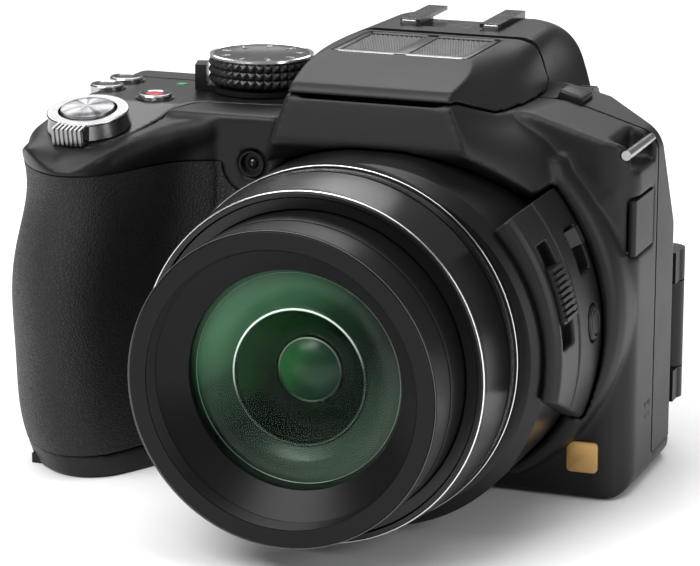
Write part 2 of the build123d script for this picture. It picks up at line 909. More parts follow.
def eyecup():
    """The soft eyecup round the eyepiece."""
    outer = rounded(
        [
            (-eyecup_half_width, eyepiece_z - eyecup_half_height), (eyecup_half_width, eyepiece_z - eyecup_half_height),
            (eyecup_half_width, eyepiece_z + eyecup_half_height), (-eyecup_half_width, eyepiece_z + eyecup_half_height),
        ],
        [eyecup_corner] * 4,
    )
    hole = rounded(
        [
            (-eyecup_half_width + eyecup_wall, eyepiece_z - eyecup_half_height + eyecup_wall),
            (eyecup_half_width - eyecup_wall, eyepiece_z - eyecup_half_height + eyecup_wall),
            (eyecup_half_width - eyecup_wall, eyepiece_z + eyecup_half_height - eyecup_wall),
            (-eyecup_half_width + eyecup_wall, eyepiece_z + eyecup_half_height - eyecup_wall),
        ],
        [eyecup_corner - wall] * 4,
    )
    cup = frontways(outer, hump_back_y, hump_back_y + eyecup_depth)
    return cup - frontways(hole, hump_back_y - overrun, hump_back_y + eyecup_depth + overrun)


def lens_collar():
    """The fixed barrel: a tapered tube with seats for two trim rings, and its side fairing."""
    tube_front = barrel_front_y + trim_ring_width
    ring_back = collar_front_y
    ring_front = collar_front_y - second_ring_width
    seat = barrel_radius - second_ring_seat
    points = [
        (bore_radius, tube_front), (barrel_front_radius, tube_front),
        (barrel_radius, barrel_groove_y - barrel_groove_width),
        (barrel_radius - barrel_groove_depth, barrel_groove_y - barrel_groove_width),
        (barrel_radius - barrel_groove_depth, barrel_groove_y),
        (barrel_radius, barrel_groove_y),
        (barrel_radius, ring_front), (seat, ring_front), (seat, ring_back),
        (collar_radius, ring_back), (collar_radius, front_y),
        (mount_hole_radius, front_y), (mount_hole_radius, front_y - floor_thickness),
        (bore_radius, front_y - floor_thickness),
    ]
    tube = turned(points)
    centre = Pos(fairing_offset_x, axis_z)
    side = frontways(centre * Circle(collar_radius), fairing_front_y, front_y)
    lip_plane = Plane(origin=(0, fairing_front_y, 0), x_dir=(1, 0, 0), z_dir=(0, -1, 0))
    lip = extrude(lip_plane * (centre * Circle(collar_radius)), fairing_chamfer, taper=50)
    lip = lip & frontways(Pos(0, axis_z) * Circle(pod_radius), collar_front_y + seat_gap, front_y)
    core = frontways(Pos(0, axis_z) * Circle(barrel_radius - second_ring_seat), barrel_front_y, front_y + overrun)
    return one(tube + ((side + lip) - core))


def trim_rings():
    """The two bright rings of the fixed barrel."""
    tube_front = barrel_front_y + trim_ring_width
    front = turned([
        (bore_radius, barrel_front_y), (barrel_front_radius - second_ring_seat / 2, barrel_front_y),
        (barrel_front_radius, barrel_front_y + trim_ring_width / 2),
        (barrel_front_radius, tube_front), (bore_radius, tube_front),
    ])
    seat = barrel_radius - second_ring_seat + touch
    ring_front = collar_front_y - second_ring_width
    back = turned([
        (seat, ring_front + touch), (collar_radius, ring_front + touch),
        (collar_radius, collar_front_y - touch), (seat, collar_front_y - touch),
    ])
    return all_solids([front, back])


def pod_profile():
    """Cross-section of the pod, as (radius, y) points, with the groove between its two bands."""
    inner = collar_radius - fairing_offset_x / 2
    return [
        (inner, front_y), (inner, pod_front_y),
        (pod_radius - pod_chamfer, pod_front_y), (pod_radius, pod_front_y + pod_chamfer),
        (pod_radius, pod_groove_y - pod_groove_width), (pod_radius - pod_groove_depth, pod_groove_y - pod_groove_width),
        (pod_radius - pod_groove_depth, pod_groove_y), (pod_radius, pod_groove_y),
        (pod_radius, front_y),
    ]


def control_pod():
    """The control pod on the outer side of the barrel, with its slots and button hole."""
    pod = turned_sector(pod_profile(), pod_top_angle, pod_bottom_angle)
    low = about_lens(pod_radius, pod_square_angle, 0)[2]
    lowest = about_lens(pod_radius, pod_bottom_angle, 0)[2]
    high = about_lens(pod_radius, pod_top_angle, 0)[2]
    side = straight([
        (pod_front_y - overrun, low), (front_y, lowest - wall), (front_y, high), (pod_front_y - overrun, high),
    ])
    pod = pod & sideways(side, 0, pod_radius + overrun)
    pod = pod - collar_clearance(seat_gap)
    pod = pod - slot_room(slider_slot_angles, slider_slot_y, slider_slot_width)
    pod = pod - slot_room(switch_slot_angles, switch_slot_y, switch_slot_width)
    hole_start = radial_plane(pod_radius - slot_depth, focus_angle, focus_y)
    pod = pod - extrude(hole_start * Circle(focus_radius + part_gap / 2), slot_depth + overrun)
    return one(pod)


def slot_room(angles, y, width):
    """A curved slot in the pod."""
    points = [
        (pod_radius - slot_depth, y), (pod_radius + overrun, y),
        (pod_radius + overrun, y + width), (pod_radius - slot_depth, y + width),
    ]
    return turned_sector(points, *angles)


def side_zoom_slider():
    """The rocker on the pod that zooms the lens, ribbed in its middle."""
    near = slider_slot_y + part_gap
    far = slider_slot_y + slider_slot_width - part_gap
    low = pod_radius - slot_depth + part_gap
    top = pod_radius + slider_rise
    high_angle, low_angle = slider_angles
    bar = turned_sector([(low, near), (top - slider_rise / 2, near), (top - slider_rise / 2, far), (low, far)],
                        high_angle, low_angle)
    ribs = 9
    step = (high_angle - low_angle) / ribs
    for number in range(ribs):
        start = high_angle - number * step
        bar = bar + turned_sector([(low + wall / 2, near), (top, near), (top, far), (low + wall / 2, far)],
                                  start, start - step / 2)
    return one(bar)


def focus_switch():
    """The three-place switch on the pod."""
    near = switch_slot_y + part_gap
    far = switch_slot_y + switch_slot_width - part_gap
    low = pod_radius - slot_depth + part_gap
    top = pod_radius + switch_rise
    middle = (near + far) / 2
    points = [
        (low, near), (pod_radius - wall / 4, near), (top, middle - wall / 2), (top, middle + wall / 2),
        (pod_radius - wall / 4, far), (low, far),
    ]
    return turned_sector(points, *switch_angles)


def focus_button():
    """The round button on the pod."""
    start = radial_plane(pod_radius - slot_depth + focus_travel + part_gap, focus_angle, focus_y)
    height = slot_depth - focus_travel - part_gap + focus_rise
    button = extrude(start * Circle(focus_radius), height)
    return one(chamfer(button.edges().filter_by(GeomType.CIRCLE).sort_by(Axis.X)[-1], focus_rise / 2))


def outer_stage():
    """The outer moving stage of the zoom."""
    outer = bore_radius - part_gap
    inner = outer - stage_wall
    front = barrel_front_y + stage_front_setback
    return turned([(inner, front), (outer, front), (outer, front + stage_length), (inner, front + stage_length)])


def front_barrel():
    """The front stage: filter thread, rim and hood catches ahead of a plain tube."""
    outer = bore_radius - 2 * part_gap - stage_wall
    inner = front_barrel_radius - front_barrel_wall
    rim_back = front_barrel_y + rim_length
    glass_seat = front_barrel_y + filter_depth + name_ring_slope + name_ring_thickness
    points = [
        (filter_radius, front_barrel_y), (front_barrel_radius - wall / 4, front_barrel_y),
        (front_barrel_radius, front_barrel_y + wall / 4), (front_barrel_radius, rim_back),
        (outer, rim_back), (outer, front_barrel_y + front_barrel_length),
        (inner, front_barrel_y + front_barrel_length), (inner, glass_seat + glass_edge + wall),
        (glass_radius - wall, glass_seat + glass_edge + wall), (glass_radius - wall, glass_seat + glass_edge),
        (glass_radius + seat_gap, glass_seat + glass_edge), (glass_radius + seat_gap, glass_seat),
        (name_ring_seat_radius, front_barrel_y + filter_depth + name_ring_thickness),
        (name_ring_seat_radius, front_barrel_y + filter_depth), (filter_radius, front_barrel_y + filter_depth),
    ]
    return one(turned(points))


def name_ring():
    """The sloping ring between the filter thread and the front glass."""
    near = front_barrel_y + filter_depth
    slope = name_ring_slope
    rim = name_ring_seat_radius - seat_gap
    inner = glass_radius - wall / 2
    return turned([
        (rim, near), (inner, near + slope), (inner, near + slope + name_ring_thickness - touch),
        (glass_radius, near + slope + name_ring_thickness - touch), (rim, near + name_ring_thickness - touch),
    ])


def crown(radius, y, height):
    """A round cap on the lens axis that swells forwards from y by its height."""
    ball = (radius ** 2 + height ** 2) / (2 * height)
    sphere = Pos(0, y - height + ball, axis_z) * Sphere(ball)
    return sphere & frontways(Pos(0, axis_z) * Circle(radius), y - height * 2, y)


def front_glass():
    """The front element, crowned forwards from a plain edge."""
    near = front_barrel_y + filter_depth + name_ring_slope + name_ring_thickness
    edge = frontways(Pos(0, axis_z) * Circle(glass_radius), near, near + glass_edge)
    return one(edge + crown(glass_radius - wall, near + touch, glass_bulge))


def lens_carrier():
    """The fixed tube behind the zoom stages, with a flange on the collar's floor."""
    inner = carrier_radius - carrier_wall
    flange_front = front_y - floor_thickness - carrier_flange
    points = [
        (inner, carrier_front_y), (carrier_radius, carrier_front_y), (carrier_radius, flange_front),
        (carrier_flange_radius, flange_front), (carrier_flange_radius, front_y - floor_thickness),
        (carrier_radius, front_y - floor_thickness), (carrier_radius, carrier_back_y),
        (0, carrier_back_y), (0, carrier_back_y - carrier_wall), (inner, carrier_back_y - carrier_wall),
    ]
    tube = turned(points)
    window = Pos(0, carrier_back_y, axis_z) * Box(sensor_window, overrun * 2, sensor_window)
    tube = tube - window
    for end in (-1, 1):
        start = (0, carrier_back_y + overrun, axis_z + end * rod_circle_radius)
        tube = tube - cross_rod(start, rod_radius + touch, carrier_wall + overrun * 2, Plane.XZ)
    return one(tube)


def guide_rods():
    """Two polished rods that the moving lens group slides on."""
    length = carrier_back_y - carrier_front_y
    rods = [cross_rod((0, carrier_back_y, axis_z + end * rod_circle_radius), rod_radius, length, Plane.XZ)
            for end in (-1, 1)]
    return all_solids(rods)


def variator_group():
    """The moving lens group: a ring of lenses with a lug on each rod."""
    far = variator_front_y + variator_length
    ring = turned([
        (variator_glass_radius, variator_front_y), (variator_radius, variator_front_y),
        (variator_radius, far), (variator_glass_radius, far),
    ])
    for end in (-1, 1):
        start = (0, far, axis_z + end * rod_circle_radius)
        lug = cross_rod(start, variator_lug_radius, variator_length, Plane.XZ)
        ring = ring + lug
        ring = ring - cross_rod((0, far + overrun, axis_z + end * rod_circle_radius), rod_radius + run_gap,
                                variator_length + overrun * 2, Plane.XZ)
    return one(ring)


def variator_glass():
    """The glass in the moving group."""
    near = variator_front_y + wall / 2
    return turned([(0, near), (variator_glass_radius - touch, near),
                   (variator_glass_radius - touch, near + wall), (0, near + wall)])


def iris_unit():
    """The iris and its housing, inside the fixed tube."""
    outer = carrier_radius - carrier_wall - seat_gap
    far = iris_front_y + iris_length
    ring = turned([(iris_opening_radius, iris_front_y), (outer, iris_front_y), (outer, far),
                   (iris_opening_radius, far)])
    for end in (-1, 1):
        start = (0, far + overrun, axis_z + end * rod_circle_radius)
        ring = ring - cross_rod(start, rod_radius + seat_gap, iris_length + overrun * 2, Plane.XZ)
    return one(ring)


def rear_lens_group():
    """The fixed rear glass, seated against the iris housing."""
    far = rear_glass_y + rear_glass_length
    return turned([(0, rear_glass_y), (rear_glass_radius, rear_glass_y), (rear_glass_radius, far), (0, far)])


def image_sensor():
    """The sensor package on the back of the lens tube."""
    far = carrier_back_y + sensor_thickness
    return block((-sensor_width / 2, carrier_back_y, axis_z - sensor_height / 2),
                 (sensor_width / 2, far, axis_z + sensor_height / 2))


def grip_rubber(grip_outer, grip_core):
    """The rubber skin that wraps the grip from its side to the lens, cut round the focus lamp."""
    skin = grip_outer - grip_core
    keep = block((grip_side_x - overrun, grip_nose_y - overrun, bottom_seam_z + touch),
                 (grip_flow_x + touch, rubber_back_y, rubber_top_z))
    around_lens = frontways(Pos(0, axis_z) * Circle(collar_radius + rubber_collar_gap), front_y - overrun * 2, back_y)
    around_lamp = frontways(Pos(lamp_hole_x, lamp_hole_z) * Circle(rubber_lamp_radius), front_y - overrun * 2, back_y)
    return one((skin & keep) - around_lens - around_lamp)





def battery_room(gap):
    """The battery's bay, from the bottom hatch up into the grip."""
    return block(
        (battery_x - battery_width / 2 - gap, battery_y - battery_depth / 2 - gap, -overrun),
        (battery_x + battery_width / 2 + gap, battery_y + battery_depth / 2 + gap,
         battery_floor_z + battery_height + gap),
    )


def battery():
    """The battery, standing in its bay."""
    return block(
        (battery_x - battery_width / 2, battery_y - battery_depth / 2, battery_floor_z),
        (battery_x + battery_width / 2, battery_y + battery_depth / 2, battery_floor_z + battery_height),
    )


def hatch_shape(gap=0):
    """The battery hatch, with a rounded edge on its hinge line."""
    near = battery_y - battery_depth / 2 - hatch_margin - gap
    far = battery_y + battery_depth / 2 + hatch_margin + gap
    left = battery_x - battery_width / 2 - hatch_margin - gap
    hinge = hatch_hinge_x()
    middle = hatch_thickness / 2
    plate = block((left, near, -gap), (hinge, far, hatch_thickness + gap))
    plane = Plane(origin=(hinge, far, middle), x_dir=(1, 0, 0), z_dir=(0, -1, 0))
    return plate + extrude(plane * Circle(middle + gap), far - near)


def hatch_hinge_x():
    """Where the battery hatch hinges."""
    return battery_x + battery_width / 2 + hatch_margin


def inner_room():
    """The hollow of the body behind its front wall, clear of the viewfinder's spine."""
    floor = bottom_seam_z - wall
    top = deck_z - deck_thickness - wall * 2
    profile = straight([
        (front_y + wall, floor), (back_y - back_wall, floor), (back_y - back_wall, screen_shelf_z - back_wall),
        (upper_back_y - back_wall, upper_back_z - wall), (upper_back_y - back_wall, top), (front_y + wall, top),
    ])
    spine = block((-hump_half_width, front_y, axis_z + carrier_radius + part_gap),
                  (hump_half_width, back_y, hump_top_z))
    return sideways(profile, grip_root_x + wall, side_x - wall) - spine - corner_cut(wall + part_gap)


def button_hole(place, radius, depth, top):
    """A blind hole from above for a round button."""
    return cross_rod((place[0], place[1], top - depth), radius, depth + overrun)


def deck_button(place, radius, rise, depth, travel):
    """A round push button on the flat deck, dished on top, with room below for its travel."""
    low = deck_z - depth + travel + part_gap
    button = cross_rod((place[0], place[1], low), radius, deck_z + rise - low)
    dish = Pos(place[0], place[1], deck_z + rise + radius * 3) * Sphere(radius * 3 + rise / 4)
    return one(button - dish)


def top_cover(form):
    """The top deck on the grip side, with its spindle and the wells for its buttons."""
    deck = form & deck_band()
    for place in (record_place, drive_place, function_place):
        deck = deck - button_hole(place, round_button_radius + part_gap / 2, deck_thickness * 2, deck_z)
    deck = deck - button_hole(lamp_place, lamp_radius, deck_thickness * 2, deck_z)
    well = deck_plane(shutter_x, shutter_y).offset(-deck_thickness * 2)
    deck = deck - extrude(well * Circle(shutter_stem_radius + part_gap), deck_thickness * 4)
    deck = deck + cross_rod((dial_x, dial_y, deck_z - deck_thickness / 2), spindle_radius,
                            spindle_height + deck_thickness / 2)
    return one(deck)


def under_deck_wells():
    """The wells in the shell below the deck, where button stems travel."""
    wells = []
    for place in (record_place, drive_place, function_place):
        wells.append(button_hole(place, round_button_radius + part_gap / 2, round_button_depth + deck_thickness, deck_z))
    wells.append(button_hole(lamp_place, lamp_radius, lamp_length, deck_z))
    stem = deck_plane(shutter_x, shutter_y).offset(-shutter_height - deck_thickness)
    wells.append(extrude(stem * Circle(shutter_stem_radius + part_gap), deck_thickness + shutter_height))
    return wells


def mode_dial():
    """The mode dial, toothed round its rim."""
    low = deck_z + power_plate + 2 * part_gap
    dial = cross_rod((dial_x, dial_y, low), dial_radius, dial_top_z - low)
    for number in range(dial_teeth):
        turn = 2 * math.pi * number / dial_teeth
        x = dial_x + dial_radius * math.cos(turn)
        y = dial_y + dial_radius * math.sin(turn)
        dial = dial - cross_rod((x, y, low + dial_skirt), dial_tooth_depth, dial_top_z - low - dial_skirt * 2)
    bore_top = deck_z + spindle_height + part_gap
    dial = dial - cross_rod((dial_x, dial_y, low - overrun), spindle_radius + run_gap, bore_top - low + overrun)
    return one(dial)


def power_switch():
    """The power lever: a plate under the mode dial with a finger tab."""
    low = deck_z + part_gap
    plate = cross_rod((dial_x, dial_y, low), power_radius, power_plate)
    tab = block((dial_radius + part_gap, -power_tab_width / 2, 0),
                (power_tab_radius, power_tab_width / 2, power_tab_height))
    web = block((0, -power_tab_width / 2, 0), (power_tab_radius, power_tab_width / 2, power_plate))
    plate = plate + Pos(dial_x, dial_y, low) * Rot(0, 0, power_angle) * (tab + web)
    return one(plate - cross_rod((dial_x, dial_y, low - overrun), spindle_radius + run_gap, overrun * 2 + power_plate))


def shutter_button():
    """The shutter button on its stem, square to the sloped deck."""
    base = deck_plane(shutter_x, shutter_y)
    cap_low = shutter_travel + 2 * part_gap
    cap = extrude(base.offset(cap_low) * Circle(shutter_radius), shutter_height - cap_low)
    stem = extrude(base.offset(-deck_thickness) * Circle(shutter_stem_radius), deck_thickness + cap_low + touch)
    return one(cap + stem)


def zoom_lever():
    """The zoom lever round the shutter button, with a ribbed tab towards the front."""
    base = deck_plane(shutter_x, shutter_y).offset(part_gap)
    ring = extrude(base * Circle(lever_radius), lever_height, taper=12)
    tab = Rectangle(lever_tab_width, lever_tab_reach - shutter_radius)
    tab_middle = -(lever_tab_reach + shutter_radius) / 2
    ring = ring + extrude(base * (Pos(0, tab_middle) * tab), lever_height - lever_rib_depth)
    pitch = lever_tab_width / lever_ribs
    for number in range(lever_ribs):
        x = (number + 1 / 2) * pitch - lever_tab_width / 2
        rib = Rectangle(pitch / 2, lever_tab_reach + lever_rib_depth - shutter_radius)
        ring = ring + extrude(base * (Pos(x, tab_middle - lever_rib_depth / 2) * rib), lever_height)
    room = extrude(base.offset(-overrun) * Circle(shutter_radius + part_gap), lever_height + overrun * 2)
    return one(ring - room)


def status_lamp():
    """The status light in the deck."""
    return button_hole(lamp_place, lamp_radius - touch, lamp_length, deck_z) & block(
        (grip_side_x, front_y, 0), (0, back_y, deck_z + run_gap))


def shoulder_top(x):
    """Height of the sloping shoulder at x."""
    share = (x - shoulder_inner_x) / (side_x - shoulder_inner_x)
    return shoulder_high_z + (shoulder_low_z - shoulder_high_z) * share


def shoulder_plane(x, y):
    """A plane on the sloping shoulder."""
    run = side_x - shoulder_inner_x
    fall = shoulder_high_z - shoulder_low_z
    size = math.hypot(run, fall)
    return Plane(origin=(x, y, shoulder_top(x)), x_dir=(run / size, 0, -fall / size), z_dir=(fall / size, 0, run / size))


def flash_button_room():
    """The well for the flash button in the shoulder."""
    depth = flash_button_travel + wall
    base = shoulder_plane(flash_button_x, flash_button_y).offset(-depth)
    return extrude(base * RectangleRounded(flash_button_width + part_gap, flash_button_length + part_gap,
                                           wall / 2), depth + overrun)


def flash_button():
    """The button that lets the flash up."""
    depth = wall - part_gap
    base = shoulder_plane(flash_button_x, flash_button_y).offset(-depth)
    return one(extrude(base * RectangleRounded(flash_button_width - part_gap / 2, flash_button_length - part_gap / 2,
                                               wall / 2), depth + flash_button_rise))


def flap(low, high, knuckle_x, gap=0):
    """A thin side flap with a rounded hinge edge along its front, between two (x, y, z) corners."""
    plate = block((low[0] - gap, low[1], low[2] - gap), (high[0] + gap, high[1] + gap, high[2] + gap))
    pin = cross_rod((knuckle_x, low[1], low[2] - gap), door_knuckle + gap, high[2] - low[2] + 2 * gap)
    return plate + pin


def jack_cover(gap=0):
    """The flap over the jack on the camera's left side."""
    low = (side_x - door_thickness, jack_front_y, jack_low_z)
    high = (side_x, jack_back_y, jack_high_z)
    return flap(low, high, side_x - door_knuckle, gap)


def terminal_cover(side, gap=0):
    """The flap over the sockets on the grip side, whose wall is at x = side."""
    low = (side, terminal_front_y, terminal_low_z)
    high = (side + door_thickness, terminal_back_y, terminal_high_z)
    return flap(low, high, side + door_knuckle, gap)


def lug_bar(x, y, z):
    """One strap bar, a straight wire across its recess."""
    length = lug_span + 2 * lug_anchor
    return cross_rod((x, y + length / 2, z), lug_wire_radius, length, Plane.XZ)


def lug_room(x, y, z, side):
    """The recess under one strap bar."""
    reach = lug_recess_depth
    return Pos(x + side * reach / 2, y, z) * Box(reach * 3, lug_span, reach * 2)


def strap_bars():
    """Both strap bars."""
    left = lug_bar(side_x - left_lug_inset, left_lug_y, left_lug_z)
    right = lug_bar(right_lug_x, right_lug_y, right_lug_z)
    return all_solids([left, right])


def lug_holes():
    """The holes that the strap bars sit in."""
    length = lug_span + 2 * lug_anchor
    places = [(side_x - left_lug_inset, left_lug_y, left_lug_z),
              (right_lug_x, right_lug_y, right_lug_z)]
    return [cross_rod((x, y + length / 2, z), lug_wire_radius + touch, length, Plane.XZ) for x, y, z in places]


def speaker_holes():
    """Four small holes over the speaker, through the side wall."""
    holes = []
    for row in (0, 1):
        for column in (0, 1):
            place = (side_x - wall - overrun, speaker_y + (column - 1 / 2) * speaker_pitch,
                     speaker_z + (row - 1 / 2) * speaker_pitch)
            holes.append(cross_rod(place, speaker_hole_radius, wall + overrun * 2, Plane.YZ))
    return holes


def lamp_window():
    """The window of the focus lamp in the front."""
    start = (lamp_hole_x, front_y, lamp_hole_z)
    return cross_rod(start, lamp_hole_radius - touch, -wall, Plane.XZ)


def badge_plate():
    """A plain square plate on the lower corner of the front."""
    half = badge_size / 2
    return block((badge_x - half, front_y - badge_thickness / 2, badge_z - half),
                 (badge_x + half, front_y + badge_thickness / 2, badge_z + half))


def badge_room():
    """The shallow seat of the plate."""
    half = badge_size / 2
    return block((badge_x - half, front_y - overrun, badge_z - half),
                 (badge_x + half, front_y + badge_thickness / 2, badge_z + half))


def tripod_socket():
    """The threaded metal insert in the base."""
    cup = cross_rod((0, 0, 0), socket_outer_radius, socket_depth + socket_cap)
    return cup - cross_rod((0, 0, -overrun), socket_radius, socket_depth + overrun)


def screw_places():
    """Places of the four case screws."""
    return [(x, front_screw_y) for x in front_screw_xs] + [(x, back_screw_y) for x in back_screw_xs]


def case_screws():
    """Four case screws, up through the base into the shells."""
    screws = []
    for x, y in screw_places():
        head = cross_rod((x, y, touch), screw_head_radius, screw_head_height)
        slot = Pos(x, y, touch) * Box(screw_head_radius, screw_head_height / 2, screw_head_height)
        shank_z = touch + screw_head_height
        screws.append((head - slot) + cross_rod((x, y, shank_z), screw_shank_radius, screw_length - screw_head_height))
    return all_solids(screws)


def screw_rooms():
    """Counterbored holes for the case screws."""
    rooms = []
    for x, y in screw_places():
        rooms.append(cross_rod((x, y, -overrun), screw_head_radius + seat_gap, screw_head_height + overrun + touch))
        rooms.append(cross_rod((x, y, -overrun), screw_shank_radius + touch, screw_length + overrun + part_gap))
    return rooms


def screw_bosses(places):
    """Bosses inside a shell for its screws."""
    return [cross_rod((x, y, bottom_seam_z), boss_radius, boss_height) for x, y in places]


def mainboard():
    """The main circuit board and its largest chips."""
    board = block((board_right_x, board_y - board_thickness, board_low_z), (board_left_x, board_y, board_high_z))
    middle = (board_left_x + board_right_x) / 2
    for side in (-1, 1):
        x = middle + side * board_chip * 3 / 2
        chip = block((x - board_chip / 2, board_y - board_thickness - board_chip_height, axis_z - board_chip / 2),
                     (x + board_chip / 2, board_y - board_thickness, axis_z + board_chip / 2))
        board = board + chip
    return one(board)


def board_posts():
    """Posts on the back shell that hold the main board."""
    posts = []
    reach = back_y - back_wall * 3 / 4 - board_y
    for x in (board_right_x + board_post_radius * 2, board_left_x - board_post_radius * 2):
        for z in (board_low_z + board_post_radius, board_high_z - board_post_radius):
            posts.append(cross_rod((x, board_y + reach, z), board_post_radius, reach, Plane.XZ))
    return posts


def flash_capacitor():
    """The flash capacitor, upright against the side wall."""
    x = side_x - wall - capacitor_radius - seat_gap
    return cross_rod((x, front_y + wall + capacitor_radius + seat_gap, capacitor_z), capacitor_radius, capacitor_length)


def zoom_motor():
    """The zoom motor, behind the front wall below the lens."""
    start = (motor_x, front_y + wall + motor_length + seat_gap, motor_z)
    return cross_rod(start, motor_radius, motor_length, Plane.XZ)


def screen_box(inset=0):
    """The screen's housing as a slab with rounded corners."""
    front = screen_back_y - screen_thickness
    face = rounded(
        [
            (screen_right_x + inset, screen_low_z + inset), (screen_left_x - inset, screen_low_z + inset),
            (screen_left_x - inset, screen_high_z - inset), (screen_right_x + inset, screen_high_z - inset),
        ],
        [screen_corner] * 4,
    )
    return face, front


def screen_panel():
    """The screen housing, with its glass seat and the socket for the twist pin."""
    face, front = screen_box()
    panel = frontways(face, front, screen_back_y)
    panel = panel - screen_glass_room()
    start = (screen_left_x - twist_pin_length - part_gap, swing_y(), twist_z())
    hole = cross_rod(start, twist_radius + run_gap, twist_pin_length + overrun, Plane.YZ)
    return one(panel - hole)


def screen_glass_room():
    """The glass seat in the back of the screen."""
    back = screen_back_y + overrun
    return block(
        (screen_right_x + screen_bezel_end, screen_back_y - screen_glass_thickness, screen_low_z + screen_bezel_side),
        (screen_left_x - screen_bezel_side * 2, back, screen_high_z - screen_bezel_side),
    )


def screen_glass():
    """The cover glass of the screen."""
    room = screen_glass_room()
    return room & block((screen_right_x, 0, 0), (screen_left_x, screen_back_y, deck_z))


def swing_y():
    """Where the screen's upright hinge lies along Y."""
    return screen_back_y - screen_thickness / 2


def twist_z():
    """Height of the screen's twist axis."""
    return (arm_low_z + arm_high_z) / 2


def screen_arm():
    """The hinge arm: a knuckle on the upright pins and a pin into the screen."""
    knuckle = cross_rod((swing_x, swing_y(), arm_low_z), swing_radius, arm_high_z - arm_low_z)
    twist = cross_rod((screen_left_x - twist_pin_length, swing_y(), twist_z()), twist_radius,
                      swing_x - screen_left_x + twist_pin_length, Plane.YZ)
    arm = knuckle + twist
    for low, sign in ((arm_low_z, 1), (arm_high_z, -1)):
        start = (swing_x, swing_y(), low - sign * overrun)
        arm = arm - cross_rod(start, swing_pin_radius + run_gap, sign * (overrun + wall + part_gap))
    return one(arm)


def screen_ears():
    """The two ears of the body that hold the arm, with their pins."""
    ears = []
    for edge, sign in ((arm_low_z, -1), (arm_high_z, 1)):
        start = edge + sign * part_gap
        face = make_face(
            Polyline((swing_x - swing_radius, back_y - wall / 2), (swing_x + swing_radius - wall / 4, back_y - wall / 2),
                     (swing_x + swing_radius - wall / 4, swing_y()), (swing_x - swing_radius, swing_y()),
                     close=True).edges())
        ear = upright(face, start, start + sign * ear_height) if sign > 0 else upright(
            face, start - ear_height, start)
        low = start if sign > 0 else start - ear_height
        ear = ear + cross_rod((swing_x, swing_y(), low), swing_radius, ear_height)
        pin_low = low - wall - part_gap if sign > 0 else low
        ear = ear + cross_rod((swing_x, swing_y(), pin_low), swing_pin_radius, ear_height + wall + part_gap)
        ears.append(ear)
    return ears


def arm_room():
    """Swing room for the arm in the back of the body."""
    tall = arm_high_z - arm_low_z + 2 * part_gap
    return cross_rod((swing_x, swing_y(), arm_low_z - part_gap), swing_radius + part_gap, tall)


def rear_dial_room():
    """The well for the thumb wheel."""
    return cross_rod((dial_wheel_x, dial_wheel_y, dial_wheel_z - dial_wheel_width / 2 - part_gap),
                     dial_wheel_radius + part_gap, dial_wheel_width + 2 * part_gap)


def rear_dial():
    """The thumb wheel at the back, ribbed, with its pin."""
    low = dial_wheel_z - dial_wheel_width / 2
    wheel = cross_rod((dial_wheel_x, dial_wheel_y, low), dial_wheel_radius, dial_wheel_width)
    teeth = 24
    for number in range(teeth):
        turn = 2 * math.pi * number / teeth
        x = dial_wheel_x + dial_wheel_radius * math.cos(turn)
        y = dial_wheel_y + dial_wheel_radius * math.sin(turn)
        wheel = wheel - cross_rod((x, y, low), dial_tooth_depth, dial_wheel_width)
    return one(wheel - cross_rod((dial_wheel_x, dial_wheel_y, low), dial_wheel_pin + run_gap, dial_wheel_width))


def rear_dial_pin():
    """The pin that the thumb wheel turns on, part of the back shell."""
    low = dial_wheel_z - dial_wheel_width / 2 - wall
    return cross_rod((dial_wheel_x, dial_wheel_y, low), dial_wheel_pin, dial_wheel_width + wall * 2)


def back_face_y(z):
    """Where the back of the body is at a height."""
    if z < screen_shelf_z:
        return back_y
    if z > upper_back_z:
        return upper_back_y
    share = (z - screen_shelf_z) / (upper_back_z - screen_shelf_z)
    return back_y + (upper_back_y - back_y) * share


def back_button(place, radius, rise, depth, travel, gap=0):
    """A round button in the back of the body."""
    x, z = place
    face_y = back_face_y(z)
    near = face_y - depth + travel + part_gap
    length = face_y + rise - near
    return cross_rod((x, face_y + rise, z), radius, length, Plane.XZ)


def back_button_room(place, radius, depth):
    """The well of a back button."""
    x, z = place
    face_y = back_face_y(z)
    return cross_rod((x, face_y + overrun, z), radius + part_gap / 2, depth + overrun, Plane.XZ)


def small_back_places():
    """Places of the small back buttons."""
    return {
        "af_lock_button": lock_place, "viewfinder_button": evf_place, "playback_button": play_place,
        "display_button": display_place, "menu_button": menu_place,
    }


def cursor_pad():
    """The four-way pad, a dished ring on a ball-like foot."""
    ring = cross_rod((pad_x, back_y + pad_rise, pad_z), pad_radius, pad_rise + pad_depth / 2, Plane.XZ)
    hole = cross_rod((pad_x, back_y + overrun, pad_z), pad_inner_radius, overrun * 2 + pad_depth, Plane.XZ)
    return one(ring - hole)


def cursor_room():
    """The well of the four-way pad and the key inside it."""
    ring = cross_rod((pad_x, back_y + overrun, pad_z), pad_radius + part_gap, overrun + pad_depth, Plane.XZ)
    return ring


def set_button():
    """The key in the middle of the pad."""
    return cross_rod((pad_x, back_y + pad_rise, pad_z), set_radius, pad_rise + pad_depth - back_button_travel - part_gap,
                     Plane.XZ)


def dioptre_place():
    """Where the dioptre wheel's seat is on the side of the hump."""
    return hump_half_width * hump_left_shares[-1][0] - wall


def dioptre_dial():
    """The dioptre wheel beside the eyepiece."""
    start = (dioptre_place() + part_gap, dioptre_y, dioptre_z)
    wheel = cross_rod(start, dioptre_radius, dioptre_width, Plane.YZ)
    teeth = 18
    for number in range(teeth):
        turn = 2 * math.pi * number / teeth
        y = dioptre_y + dioptre_radius * math.cos(turn)
        z = dioptre_z + dioptre_radius * math.sin(turn)
        wheel = wheel - cross_rod((start[0], y, z), dial_tooth_depth / 2, dioptre_width, Plane.YZ)
    bore = cross_rod((start[0] - overrun, dioptre_y, dioptre_z), dioptre_pin_radius + run_gap,
                     overrun + dioptre_width / 2 + part_gap, Plane.YZ)
    return one(wheel - bore)


